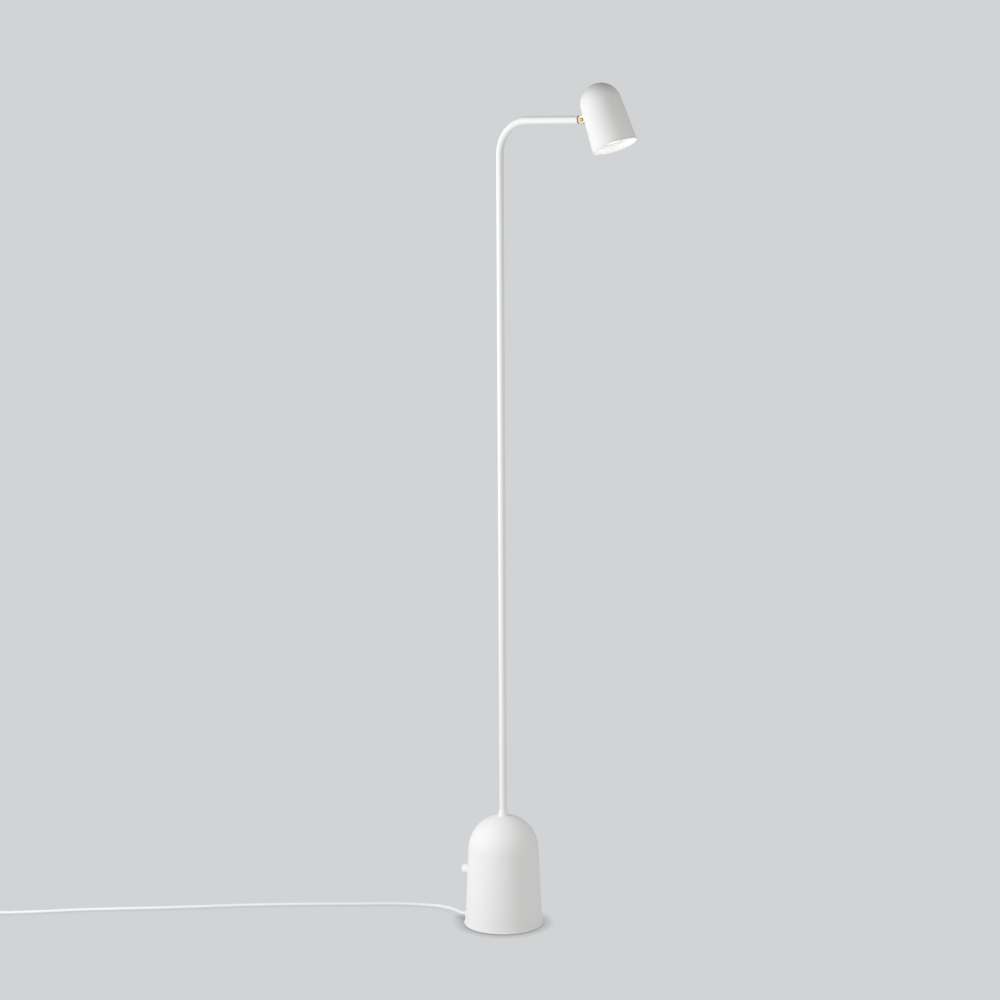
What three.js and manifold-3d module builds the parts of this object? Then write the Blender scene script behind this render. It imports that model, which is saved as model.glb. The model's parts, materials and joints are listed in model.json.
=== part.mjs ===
// Adjustable arm floor lamp: a bell-shaped weighted base, a slim pole bent over into a short arm,
// and a small bell-shaped head on a brass knuckle at the arm's end.
// Millimetres, +Z up. The origin is on the floor under the pole, and the arm points along +X.

import * as THREE from 'three';
import { mergeVertices } from 'three/addons/utils/BufferGeometryUtils.js';
import Module from 'manifold-3d';

const wasm = await Module();
wasm.setup();

// ---------- driving dimensions ----------

const gap = 0.3; // between pieces that touch
const degree = Math.PI / 180;

// base bell
const base_dome_radius = 49.8;
const base_dome_height = 108.6; // centre of the dome above the floor
const base_wall = 1.5;
const base_lip_height = 0.5; // lower edge of the shell above the floor
const base_flare_height = 15; // the foot spreads over this height
const base_flare_out = 1.5;
const knob_turn = 2 * degree; // knob and lead stand this far off the arm's plane
const lead_turn = 19 * degree;

// head bell
const head_dome_radius = 27.6;
const head_depth = 60.6; // from the centre of its dome to its mouth
const head_wall = 1.2;
const head_flare_height = 8;
const head_flare_out = 0.5;
const head_tilt = 22 * degree; // mouth swung outwards from straight down

const bell_taper = 2.65 * degree; // both bells widen downwards at this angle

// pole and arm
const pole_radius = 5.2;
const pole_bore = 4.2;
const pole_foot = 136; // lower end of the tube
const arm_height = 1132; // centre line of the arm
const arm_end = 131;
const bend_radius = 46;

// knuckle
const pivot_x = 138.5;
const head_reach = 34.05; // from the pivot to the head's axis
const head_rise = 8.25; // from the pivot to the dome's centre, along the head's axis
const cheek_radius = 5.6;
const tongue_radius = 4.6;
const tongue_half = 2;
const cheek_inner = 2.3;
const cheek_outer = 4.8;
const pivot_pin_radius = 1.55;
const stud_radius = 3.9;

// dimmer
const dimmer_height = 67.8;
const knob_radius = 7.2;
const knob_inner_end = 1.7; // distances from the shell's outer face
const knob_outer_end = 17.5;
const shaft_radius = 2;
const shaft_flat = 1.4; // distance of the shaft's flat from its centre

// mains lead
const lead_radius = 2.5;
const lead_exit_height = 8;
const lead_floor = 2.6; // centre line of a lead lying on the floor
const gland_length = 4.4;
const coil_outer = 34.8; // outermost and innermost centre line of the coil's turns
const coil_inner = 26.6;
const coil_layers = 4;
const coil_layer_step = 5.1;

// The lead's centre line from the gland to the coil.
const lead_route = [
  [-57.1, -19.7, 8], [-61.2, -20, 8], [-66.2, -17.6, 7.9], [-72.2, -14.9, 7.6], [-84.7, -10.6, 6.7],
  [-96.8, -6.9, 5.5], [-108, -4.4, 4.2], [-121.7, -4.7, 2.9], [-135.9, -10, 2.6], [-152, -17.9, 2.6],
  [-170, -28, 2.6], [-216, -62, 2.6], [-264, -98, 2.6], [-308, -132, 2.6], [-349, -166, 2.6],
  [-398, -210, 2.6], [-441, -248, 2.6], [-484, -284, 2.6], [-529, -323, 2.6], [-570, -363, 2.6],
  [-613, -400, 2.6], [-636, -416, 2.6],
];
const coil_entry = [-658, -432]; // where the lead runs into its outermost turn
const coil_heading = 215.4 * degree; // direction of the lead there
const tail_heading = 180 * degree; // direction in which the lead leaves the coil for the plug
const coil_clear = 20.5; // length of lead that still lies against the coil at each end
const tail_length = 58;

// ---------- helpers ----------

const point = (x, y, z) => new THREE.Vector3(x, y, z);

// Merges shared corners, drops collapsed triangles and faces the surface outwards.
function closed(geometry) {
  const bare = geometry.clone();
  bare.deleteAttribute('normal');
  bare.deleteAttribute('uv');
  const merged = mergeVertices(bare, 1e-4);
  const at = merged.getAttribute('position');
  const corner = (i) => point(at.getX(i), at.getY(i), at.getZ(i));
  const kept = [];
  let volume = 0;
  for (let i = 0; i < merged.index.count; i += 3) {
    const [a, b, c] = [0, 1, 2].map((k) => merged.index.getX(i + k));
    if (a === b || b === c || c === a) continue;
    kept.push([a, b, c]);
    volume += corner(a).dot(corner(b).cross(corner(c)));
  }
  const ordered = volume < 0 ? kept.map(([a, b, c]) => [a, c, b]) : kept;
  merged.setIndex(ordered.flat());
  return merged;
}

function toSolid(geometry) {
  const clean = closed(geometry);
  return new wasm.Manifold(new wasm.Mesh({
    numProp: 3,
    vertProperties: new Float32Array(clean.getAttribute('position').array),
    triVerts: new Uint32Array(clean.index.array),
  }));
}

function toGeometry(solid) {
  const mesh = solid.getMesh();
  const geometry = new THREE.BufferGeometry();
  geometry.setAttribute('position', new THREE.BufferAttribute(new Float32Array(mesh.vertProperties), 3));
  geometry.setIndex(Array.from(mesh.triVerts));
  return geometry;
}

function combine(first, others, operation) {
  let solid = toSolid(first);
  for (const other of others) solid = solid[operation](toSolid(other));
  return toGeometry(solid);
}
const cut = (first, ...others) => combine(first, others, 'subtract');
const join = (first, ...others) => combine(first, others, 'add');

// A solid of revolution about Z from [radius, height] points.
function turned(profile, segments) {
  const points = profile.map(([r, z]) => new THREE.Vector2(r, z));
  return new THREE.LatheGeometry(points, segments).rotateX(Math.PI / 2);
}

// A turned ring of rectangular section.
function ring(inner, outer, low, high, segments) {
  return turned([[inner, low], [outer, low], [outer, high], [inner, high], [inner, low]], segments);
}

// A cylinder along Z between two heights.
function rod(radius, low, high, segments) {
  return new THREE.CylinderGeometry(radius, radius, high - low, segments)
    .rotateX(Math.PI / 2).translate(0, 0, (low + high) / 2);
}

function hexagon(across_flats, low, high) {
  return rod(across_flats / Math.sqrt(3), low, high, 6);
}

function block(x_size, y_size, z_size, x, y, z) {
  return new THREE.BoxGeometry(x_size, y_size, z_size).translate(x, y, z);
}

const alongX = (geometry) => geometry.rotateY(Math.PI / 2);
const alongY = (geometry) => geometry.rotateX(-Math.PI / 2);

// A path whose steps fall exactly on the given stations, so straight runs take a single step.
class StationPath extends THREE.Curve {
  constructor(stations) {
    super();
    this.stations = stations;
  }

  getPoint(t) {
    const last = this.stations.length - 1;
    const place = Math.min(Math.max(t, 0), 1) * last;
    const start = Math.min(Math.floor(place), last - 1);
    return this.stations[start].clone().lerp(this.stations[start + 1], place - start);
  }

  getUtoTmapping(u) {
    return u;
  }
}

function circleShape(radius, hole_radius = 0) {
  const shape = new THREE.Shape().absarc(0, 0, radius, 0, 2 * Math.PI, false);
  if (hole_radius > 0) shape.holes.push(new THREE.Path().absarc(0, 0, hole_radius, 0, 2 * Math.PI, true));
  return shape;
}

// A round section with sides flat faces, swept along a path.
function swept(shape, sides, path, steps) {
  const options = { steps, extrudePath: path, curveSegments: sides / 2, bevelEnabled: false };
  return new THREE.ExtrudeGeometry(shape, options);
}

// A plane outline in [x, y], extruded between two heights.
function plate(outline, low, high) {
  const shape = new THREE.Shape(outline.map(([x, y]) => new THREE.Vector2(x, y)));
  const options = { depth: high - low, bevelEnabled: false, steps: 1 };
  return new THREE.ExtrudeGeometry(shape, options).translate(0, 0, low);
}

// A round section with one flat, as on the dimmer's shaft, between two heights.
function flattedRod(radius, flat, low, high) {
  const corner = Math.acos(flat / radius);
  const shape = new THREE.Shape().absarc(0, 0, radius, corner, 2 * Math.PI - corner, false);
  const options = { depth: high - low, bevelEnabled: false, steps: 1, curveSegments: 8 };
  return new THREE.ExtrudeGeometry(shape, options).translate(0, 0, low);
}

function finish(colour, roughness, metalness = 0) {
  return new THREE.MeshStandardMaterial({ color: colour, roughness, metalness });
}

const powder_coat = () => finish(0xf4f4f2, 0.55);
const white_plastic = () => finish(0xf2f2f0, 0.45);
const brass = () => finish(0xc9a24e, 0.3, 1);
const zinc_steel = () => finish(0xb8bcc0, 0.4, 1);
const cast_iron = () => finish(0x3a3b3d, 0.8, 0.6);
const grey_foam = () => finish(0x2c2d2e, 0.95);
const dark_plastic = () => finish(0x26282a, 0.5);

function add(group, name, geometry, material) {
  const mesh = new THREE.Mesh(closed(geometry), material);
  mesh.name = name;
  group.add(mesh);
}

// ---------- the bell form shared by base and head ----------

// Outer or inner line of a bell as [radius, height] from start_angle on its dome down to its lip,
// measured from the dome's centre. offset moves it inwards (negative) or outwards.
function bellLine(bell, offset, start_angle, steps) {
  const radius = bell.radius + offset;
  const line = [];
  for (let i = 0; i <= steps; i += 1) {
    const angle = start_angle + (bell_taper - start_angle) * (i / steps);
    line.push([radius * Math.cos(angle), radius * Math.sin(angle)]);
  }
  const [side_radius, side_height] = line[line.length - 1];
  for (const spread of [0, 0.4, 0.75, 1]) {
    const height = -bell.depth + bell.flare_height * (1 - spread);
    const side = side_radius + (side_height - height) * Math.tan(bell_taper);
    line.push([side + bell.flare_out * spread * spread, height]);
  }
  return line;
}

// Angle on a dome at which its surface is a given distance from the axis.
const domeAngle = (radius, distance) => Math.acos(distance / radius);

const base_bell = {
  radius: base_dome_radius,
  depth: base_dome_height - base_lip_height,
  flare_height: base_flare_height,
  flare_out: base_flare_out,
};
const head_bell = {
  radius: head_dome_radius,
  depth: head_depth,
  flare_height: head_flare_height,
  flare_out: head_flare_out,
};

// The bell's wall between two offsets of its outer line; crown_hole opens it on its axis.
function bellWall(bell, outer_offset, inner_offset, crown_hole, steps, segments) {
  const angle = (offset) => domeAngle(bell.radius + offset, crown_hole);
  const outside = bellLine(bell, outer_offset, angle(outer_offset), steps);
  const inside = bellLine(bell, inner_offset, angle(inner_offset), steps).reverse();
  const profile = [...outside, ...inside];
  if (crown_hole > 0) profile.push(outside[0]);
  return turned(profile, segments);
}

// Radius of the base's outer side at a height above the floor, above its flare.
function baseSide(height) {
  const side_radius = base_dome_radius * Math.cos(bell_taper);
  const side_height = base_dome_height + base_dome_radius * Math.sin(bell_taper);
  return side_radius + (side_height - height) * Math.tan(bell_taper);
}

// ---------- base ----------

const lamp = new THREE.Group();

const knob_side = new THREE.Group(); // local -X points to the knob
knob_side.rotation.z = knob_turn;
lamp.add(knob_side);
const lead_side = new THREE.Group(); // local -X points to the lead's exit
lead_side.rotation.z = lead_turn;
lamp.add(lead_side);

// Local frame of the dimmer: +Z runs outwards along the wall's normal, 0 on the wall's outer face.
const dimmer_frame = new THREE.Group();
dimmer_frame.position.set(-baseSide(dimmer_height), 0, dimmer_height);
dimmer_frame.rotation.y = -Math.PI / 2 + bell_taper;
dimmer_frame.updateMatrix();
knob_side.add(dimmer_frame);

const bush_radius = 3.2;
const gland_neck = 3.6;
const pole_hole = pole_radius + gap;
const side_behind = [-62, -46]; // range along local X that holds the wall behind the foot

function baseShell() {
  const wall = bellWall(base_bell, 0, -base_wall, pole_hole, 6, 40).translate(0, 0, base_dome_height);
  const bush_hole = rod(bush_radius + gap, -6, 6, 20).applyMatrix4(dimmer_frame.matrix);
  const lead_hole = alongX(rod(gland_neck + gap, ...side_behind, 20)).translate(0, 0, lead_exit_height);
  return cut(wall, bush_hole.rotateZ(knob_turn), lead_hole.rotateZ(lead_turn));
}
add(lamp, 'base_shell', baseShell(), powder_coat());

const pad_radius = 52;
const pad_thickness = 2;
const plate_radius = 53.2;
const plate_low = pad_thickness + gap;
const plate_high = plate_low + 1.6;
const weight_low = plate_high + gap;
const weight_high = 50;
const weight_bore = 13;
const screw_circle = 34;
const screw_radius = 2;
const screw_head_radius = 4;
const screw_tip = 16; // height of the plate screws' tips
const screw_places = [30, 150, 270].map((angle) => [
  screw_circle * Math.cos(angle * degree),
  screw_circle * Math.sin(angle * degree),
]);

const atScrews = (make) => screw_places.map(([x, y]) => make().translate(x, y, 0));

function footPad() {
  const access = () => rod(screw_head_radius + 2 * gap, -1, pad_thickness + 1, 16);
  return cut(rod(pad_radius, 0, pad_thickness, 40), ...atScrews(access));
}
add(lamp, 'foot_pad', footPad(), grey_foam());

function basePlate() {
  const hole = screw_radius + gap;
  const rim = screw_head_radius + gap;
  const sink = () => turned([[0, plate_low - 1], [rim, plate_low - 1], [rim, plate_low], [hole, plate_high],
    [hole, plate_high + 1], [0, plate_high + 1]], 16);
  return cut(rod(plate_radius, plate_low, plate_high, 40), ...atScrews(sink));
}
add(lamp, 'base_plate', basePlate(), zinc_steel());

function plateScrew() {
  return turned([[0, plate_low], [screw_head_radius, plate_low], [screw_radius, plate_high - gap],
    [screw_radius, screw_tip - 0.6], [screw_radius - 0.6, screw_tip], [0, screw_tip]], 16);
}
screw_places.forEach(([x, y], i) => {
  add(lamp, `plate_screw_${i + 1}`, plateScrew().translate(x, y, 0), zinc_steel());
});

// Cast ballast with a bore for the wiring, tapped screw holes and a tunnel for the mains lead.
function baseWeight() {
  const casting = turned([[weight_bore, weight_low], [51.8, weight_low], [52.2, 7.5], [52.2, 18],
    [50.2, weight_high - 1.5], [48.7, weight_high], [weight_bore, weight_high],
    [weight_bore, weight_low]], 32);
  const tunnel = block(48, 11.5, 16, -34, 0, 6.5);
  const tapping = () => rod(screw_radius + gap, weight_low - 1, screw_tip + 1, 12);
  return cut(casting, tunnel.rotateZ(lead_turn), ...atScrews(tapping));
}
add(lamp, 'base_weight', baseWeight(), cast_iron());

// ---------- pole ----------

const crownAt = (distance) => base_dome_height + Math.sqrt(base_dome_radius ** 2 - distance ** 2);

function poleCollar() {
  const bottom = 7.9;
  return turned([[pole_hole, crownAt(pole_hole) + gap], [bottom, crownAt(bottom) + gap],
    [7.7, crownAt(bottom) + 1.4], [6.7, crownAt(bottom) + 3.4], [6.1, crownAt(bottom) + 6.2],
    [pole_hole, crownAt(bottom) + 7.4], [pole_hole, crownAt(pole_hole) + gap]], 24);
}
add(lamp, 'pole_collar', poleCollar(), powder_coat());

const washer_radius = 13;
const dome_inside = base_dome_radius - base_wall;
const washer_high = base_dome_height + Math.sqrt(dome_inside ** 2 - washer_radius ** 2) - gap;
const washer_low = washer_high - 2.5;
add(lamp, 'pole_washer', ring(pole_hole, washer_radius, washer_low, washer_high, 24), zinc_steel());

const pole_nut_high = washer_low - gap;
const pole_nut_low = pole_nut_high - 6;
add(lamp, 'pole_nut', cut(hexagon(17, pole_nut_low, pole_nut_high),
  rod(pole_hole, pole_nut_low - 1, pole_nut_high + 1, 24)), zinc_steel());

// Stations of the pole's and arm's centre line from one height up to an end along the arm.
function poleStations(low, arm_x, bend_steps) {
  const stations = [point(0, 0, low)];
  for (let i = 0; i <= bend_steps; i += 1) {
    const angle = (i / bend_steps) * Math.PI / 2;
    const x = bend_radius * (1 - Math.cos(angle));
    const z = arm_height - bend_radius * (1 - Math.sin(angle));
    stations.push(point(x, 0, z));
  }
  stations.push(point(arm_x, 0, arm_height));
  return stations;
}

function sweptPath(shape, sides, stations) {
  return swept(shape, sides, new StationPath(stations), stations.length - 1);
}
add(lamp, 'pole_tube', sweptPath(circleShape(pole_radius, pole_bore), 16,
  poleStations(pole_foot, arm_end, 12)), powder_coat());

// ---------- wiring inside the base and pole ----------

const terminal_left = 14;
const terminal_right = 38;
const terminal_low = weight_high + gap;
const terminal_high = terminal_low + 11;
const terminal_screw_x = 30;
const terminal_screw_radius = 1.5;
function terminalBlock() {
  const body = block(terminal_right - terminal_left, 18, terminal_high - terminal_low,
    (terminal_left + terminal_right) / 2, 0, (terminal_low + terminal_high) / 2);
  const hole = rod(terminal_screw_radius + gap, terminal_low - 1, terminal_high + 1, 12);
  return cut(body, hole.translate(terminal_screw_x, 0, 0));
}
add(lamp, 'terminal_block', terminalBlock(), white_plastic());

function terminalScrew() {
  const tip = terminal_low + 0.4;
  const seat = terminal_high + gap;
  return turned([[0, tip], [terminal_screw_radius, tip], [terminal_screw_radius, seat],
    [2.9, seat], [2.9, seat + 1.7], [0, seat + 1.7]], 12);
}
add(lamp, 'terminal_screw', terminalScrew().translate(terminal_screw_x, 0, 0), zinc_steel());

const flex = (radius, points, steps) => swept(circleShape(radius), 8,
  new THREE.CatmullRomCurve3(points.map((p) => point(...p))), steps);

const pole_flex_points = [[20, 0, terminal_high + gap], [19.5, 0, 72], [16, 0, 86], [10, 0, 100],
  [4, 0, 114], [1, 0, 126]].map((p) => point(...p));
add(lamp, 'pole_flex', sweptPath(circleShape(2.5), 8,
  [...pole_flex_points, ...poleStations(138, 114, 8)]), white_plastic());

const inner_lead_points = [[-45.8, -15.8, lead_exit_height], [-28.4, -9.8, lead_exit_height],
  [-15, -5, 8.4], [-8, -3, 13.5], [-5.5, -3.5, 26], [-2, -4, 50], [3, -4.3, 56], [9, -4.5, 57.4],
  [terminal_left - gap, -4.5, 57.5]];
const dimmer_lead_points = [[-33, 4, 69.8], [-22, 5, 69.6], [-9, 5.6, 66], [1, 5, 60], [8, 4.6, 57.7],
  [terminal_left - gap, 4.5, 57.5]];
add(lamp, 'inner_lead', flex(lead_radius, inner_lead_points, 18), white_plastic());
add(lamp, 'dimmer_lead', flex(2, dimmer_lead_points, 14), white_plastic());

// ---------- dimmer, along its own axis ----------

const case_outer_end = -3.4;
const case_depth = 13.4;
const case_inner_end = case_outer_end - case_depth;
const rotor_chamber_radius = 8.6;
const shaft_inner_end = case_inner_end + 3.2;
const shaft_bore = shaft_radius + gap;
const bush_end = 3.6;

function dimmerCase() {
  const body = block(24, 24, case_depth, 0, 0, case_outer_end - case_depth / 2);
  const shoulder = rod(5.5, case_outer_end - 1, -base_wall - 0.7, 24);
  const bush = rod(bush_radius, case_outer_end - 1, bush_end, 20);
  const chamber = rod(rotor_chamber_radius, case_inner_end + 1.5, case_outer_end - 1.5, 24);
  const bore = rod(shaft_bore, case_outer_end - 3, bush_end + 1, 16);
  return cut(join(body, shoulder, bush), chamber, bore);
}
add(dimmer_frame, 'dimmer_case', dimmerCase(), dark_plastic());

add(dimmer_frame, 'dimmer_washer', ring(bush_radius + gap, 5, gap, gap + 0.5, 24), zinc_steel());
const dimmer_nut_low = gap + 0.5 + gap;
const dimmer_nut_high = dimmer_nut_low + 2;
add(dimmer_frame, 'dimmer_nut', cut(hexagon(8.2, dimmer_nut_low, dimmer_nut_high),
  rod(bush_radius + gap, dimmer_nut_low - 1, dimmer_nut_high + 1, 20)), zinc_steel());

function dimmerRotor() {
  const low = case_outer_end - 7;
  const high = case_outer_end - 4;
  return cut(rod(rotor_chamber_radius - 0.5, low, high, 24),
    flattedRod(shaft_bore, shaft_flat + gap, low - 1, high + 1));
}
add(dimmer_frame, 'dimmer_rotor', dimmerRotor(), dark_plastic());

const knob_bore_end = knob_outer_end - 2.2;
add(dimmer_frame, 'dimmer_shaft',
  flattedRod(shaft_radius, shaft_flat, shaft_inner_end, knob_bore_end - gap), brass());

function dimmerKnob() {
  const rounding = 0.8;
  const body = turned([[0, knob_inner_end], [knob_radius, knob_inner_end],
    [knob_radius, knob_outer_end - rounding], [knob_radius - 0.25, knob_outer_end - 0.25],
    [knob_radius - rounding, knob_outer_end], [0, knob_outer_end]], 24);
  const skirt = rod(5.2, knob_inner_end - 1, 5.4, 20);
  return cut(body, skirt, flattedRod(shaft_bore, shaft_flat + gap, 4, knob_bore_end));
}
add(dimmer_frame, 'dimmer_knob', dimmerKnob(), powder_coat());

// ---------- mains lead, coil and plug ----------

// Tapered strain relief with a flange outside the shell and two snap wings inside it.
function leadGland() {
  const flange = 57.2;
  const tip = flange - 2.1 + gland_length;
  const body = turned([[0, 49], [gland_neck, 49], [gland_neck, 54.4], [4.9, 54.4], [4.9, flange],
    [3.8, flange + 0.6], [3.2, tip], [0, tip]], 20);
  const wings = block(4.4, 10, 2.6, 0, 0, 51.4);
  const blank = alongX(join(body, wings)).rotateZ(Math.PI).translate(0, 0, lead_exit_height);
  const neck_way = alongX(rod(gland_neck + 0.05, ...side_behind, 20)).translate(0, 0, lead_exit_height);
  const wall = bellWall(base_bell, gap, -base_wall - gap, 20, 4, 40).translate(0, 0, base_dome_height);
  return cut(blank, cut(wall.rotateZ(-lead_turn), neck_way));
}
add(lead_side, 'lead_gland', leadGland(), white_plastic());

function mainsLead() {
  const along = point(Math.cos(coil_heading), Math.sin(coil_heading), 0);
  const entry = point(coil_entry[0], coil_entry[1], lead_floor);
  const end = entry.addScaledVector(along, -coil_clear);
  const route = [...lead_route.map((p) => point(...p)), end];
  return swept(circleShape(lead_radius), 8, new THREE.CatmullRomCurve3(route), 60);
}
add(lamp, 'mains_lead', mainsLead(), white_plastic());

// The coil turns clockwise seen from above, so its centre lies to the right of the lead's heading.
const coil_centre = point(
  coil_entry[0] + coil_outer * Math.cos(coil_heading - Math.PI / 2),
  coil_entry[1] + coil_outer * Math.sin(coil_heading - Math.PI / 2),
  0,
);
const coil_top = lead_floor + (coil_layers - 1) * coil_layer_step;

function leadCoil() {
  const inner = coil_inner - lead_radius;
  const outer = coil_outer + lead_radius;
  const low = lead_floor - lead_radius;
  const high = coil_top + lead_radius;
  const corner = 1.5;
  return turned([[inner, low + corner], [inner + corner, low], [outer - corner, low],
    [outer, low + corner], [outer, high - corner], [outer - corner, high], [inner + corner, high],
    [inner, high - corner], [inner, low + corner]], 28);
}
add(lamp, 'lead_coil', leadCoil().translate(coil_centre.x, coil_centre.y, 0), white_plastic());

// Local frame of the tail and plug: +X follows the lead away from where it leaves the coil.
const tail_frame = new THREE.Group();
tail_frame.position.set(
  coil_centre.x + coil_outer * Math.cos(tail_heading + Math.PI / 2),
  coil_centre.y + coil_outer * Math.sin(tail_heading + Math.PI / 2),
  0,
);
tail_frame.rotation.z = tail_heading;
lamp.add(tail_frame);

const plug_height = 7; // centre of the plug above the floor
const tail_route = [[coil_clear, 0, 16.4], [30, 0, 13.4], [40, 0, 10], [49, 0, 7.7],
  [tail_length - gap, 0, plug_height]];
add(tail_frame, 'lead_tail', flex(lead_radius, tail_route, 8), white_plastic());

const plug_length = 36;
const plug_half = 6.8;
const pin_places = [-9.3, 9.3];
const pin_radius = 2;
const pin_depth = 8; // length of a pin that sits in the plug
function plugBody() {
  const face = tail_length + plug_length;
  const outline = [[tail_length, -5], [tail_length + 7, -6.2], [face - 9, -17.4], [face, -17.4],
    [face, 17.4], [face - 9, 17.4], [tail_length + 7, 6.2], [tail_length, 5]];
  const body = plate(outline, plug_height - plug_half, plug_height + plug_half);
  const socket = () => alongX(rod(pin_radius + gap, face - pin_depth - gap, face + 1, 12));
  return cut(body, ...pin_places.map((y) => socket().translate(0, y, plug_height)));
}
add(tail_frame, 'plug_body', plugBody(), white_plastic());

function plugPin() {
  const root = tail_length + plug_length - pin_depth;
  const tip = tail_length + plug_length + 19;
  return alongX(turned([[0, root], [pin_radius, root], [pin_radius, tip - 1.2], [pin_radius - 0.9, tip],
    [0, tip]], 12));
}
pin_places.forEach((y, i) => {
  add(tail_frame, `plug_pin_${i + 1}`, plugPin().translate(0, y, plug_height), brass());
});

// ---------- knuckle ----------

const knuckle = new THREE.Group(); // origin on the tilt pivot, turning with the arm_knuckle
knuckle.position.set(pivot_x, 0, arm_height);
lamp.add(knuckle);

const arm_end_here = arm_end - pivot_x;

function armKnuckle() {
  const spigot = alongX(rod(pole_bore - 0.35, arm_end_here - 11, arm_end_here + 1, 20));
  const flange_low = arm_end_here + gap;
  const flange = alongX(turned([[0, flange_low], [5.1, flange_low], [5.3, flange_low + 0.3],
    [5.3, flange_low + 1], [5, flange_low + 1.3], [0, flange_low + 1.3]], 24));
  const neck = block(-flange_low, 2 * tongue_half, 8.4, flange_low / 2, 0, 0);
  const tongue = alongY(rod(tongue_radius, -tongue_half, tongue_half, 28));
  const wire_bore = alongX(rod(1.9, arm_end_here - 12, arm_end_here + 1, 12));
  const pin_bore = alongY(rod(pivot_pin_radius + gap, -3, 3, 16));
  return cut(join(spigot, flange, neck, tongue), wire_bore, pin_bore);
}
add(knuckle, 'arm_knuckle', armKnuckle(), brass());

// ---------- head: turned about the pivot from straight down ----------

const head = new THREE.Group();
head.rotation.y = -head_tilt;
knuckle.add(head);

// Axis of the bell inside the head's group.
const bell_frame = new THREE.Group();
bell_frame.position.set(head_reach, 0, head_rise);
head.add(bell_frame);
const toPivot = (geometry) => geometry.translate(head_reach, 0, head_rise);

const fork_seat = 5.1; // pivot to the fork's bridge
const stud_end = 15.7;

function tiltFork() {
  const cheek = (side) => {
    const middle = side * (cheek_inner + cheek_outer) / 2;
    const thickness = cheek_outer - cheek_inner;
    const disc = alongY(rod(cheek_radius, -thickness / 2, thickness / 2, 28)).translate(0, middle, 0);
    const reach = fork_seat + 1;
    return join(disc, block(reach, thickness, 9.6, reach / 2, middle, 0));
  };
  const seat = alongX(rod(5.7, fork_seat, 12, 32));
  const wall_way = bellWall(head_bell, gap, -head_wall - 8, 0, 10, 40);
  const stud = alongX(rod(stud_radius, fork_seat + 0.5, stud_end, 20));
  const trimmed = join(cut(join(cheek(-1), cheek(1), seat), toPivot(wall_way)), stud);
  const wire_bore = alongX(rod(2, fork_seat - 1, stud_end + 1, 12));
  return cut(trimmed, wire_bore, alongY(rod(pivot_pin_radius + gap, -6, 6, 16)));
}
add(head, 'tilt_fork', tiltFork(), brass());

const screw_seat = cheek_outer + gap;
const screw_head_end = screw_seat + 1.3;
const pin_end = 8.4;
function tiltScrew() {
  const body = alongY(turned([[0, -screw_head_end], [2.4, -screw_head_end], [2.7, -screw_head_end + 0.3],
    [2.7, -screw_seat], [pivot_pin_radius, -screw_seat], [pivot_pin_radius, pin_end], [0, pin_end]], 20));
  const slot = block(7, 1, 0.8, 0, -screw_head_end, 0);
  return cut(body, slot);
}
add(head, 'tilt_screw', tiltScrew(), brass());
const pin_hole = pivot_pin_radius + gap;
const tilt_washer_end = screw_seat + 0.6;
add(head, 'tilt_washer', alongY(ring(pin_hole, 3.4, screw_seat, tilt_washer_end, 20)), brass());
const tilt_nut_low = tilt_washer_end + gap;
add(head, 'tilt_nut', alongY(cut(hexagon(5.5, tilt_nut_low, tilt_nut_low + 2.2),
  rod(pin_hole, tilt_nut_low - 1, tilt_nut_low + 3, 16))), brass());

function headShell() {
  const wall = bellWall(head_bell, 0, -head_wall, 0, 6, 32);
  const stud_hole = alongX(rod(stud_radius + gap, -33, -20, 20)).translate(0, 0, -head_rise);
  return cut(wall, stud_hole);
}
add(bell_frame, 'head_shell', headShell(), powder_coat());

// Inside the head everything is stacked on the fork's stud, then hung along the bell's axis.
const stack_x = (outward) => outward - head_reach; // from pivot distance to the bell's frame
const bracket_face = 8.75;
const bracket_thickness = 1;
const bracket_half = 5;
const holder_back = 19.5; // above the dome's centre
const holder_front = 4.3;
const bracket_top = holder_back + gap;
const bracket_screw_radius = 1.1;
const bracket_screw_places = [-6, 6];
const bracket_screw_tip = 15;

function lampBracket() {
  const outer = stack_x(bracket_face);
  const inner = outer + bracket_thickness;
  const low = -head_rise - 6;
  const outline = [[outer, low], [inner, low], [inner, 1.6], [-13.4, bracket_top], [10, bracket_top],
    [10, bracket_top + bracket_thickness], [-13.9, bracket_top + bracket_thickness], [outer, 2]];
  const strip = plate(outline, -bracket_half, bracket_half).rotateX(Math.PI / 2);
  const stud_hole = alongX(rod(stud_radius + gap, outer - 1, inner + 1, 20)).translate(0, 0, -head_rise);
  const hole = () => rod(bracket_screw_radius + gap, bracket_top - 1, bracket_top + 2, 12);
  const screw_holes = bracket_screw_places.map((x) => hole().translate(x, 0, 0));
  return cut(strip, stud_hole, ...screw_holes);
}
add(bell_frame, 'lamp_bracket', lampBracket(), zinc_steel());

const fork_washer_low = bracket_face + bracket_thickness + gap;
add(head, 'fork_washer', alongX(ring(stud_radius + gap, 6.4, fork_washer_low, fork_washer_low + 1, 24)),
  zinc_steel());
const fork_nut_low = fork_washer_low + 1 + gap;
add(head, 'fork_nut', alongX(cut(hexagon(12, fork_nut_low, fork_nut_low + 3.6),
  rod(stud_radius + gap, fork_nut_low - 1, fork_nut_low + 5, 20))), zinc_steel());

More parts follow.
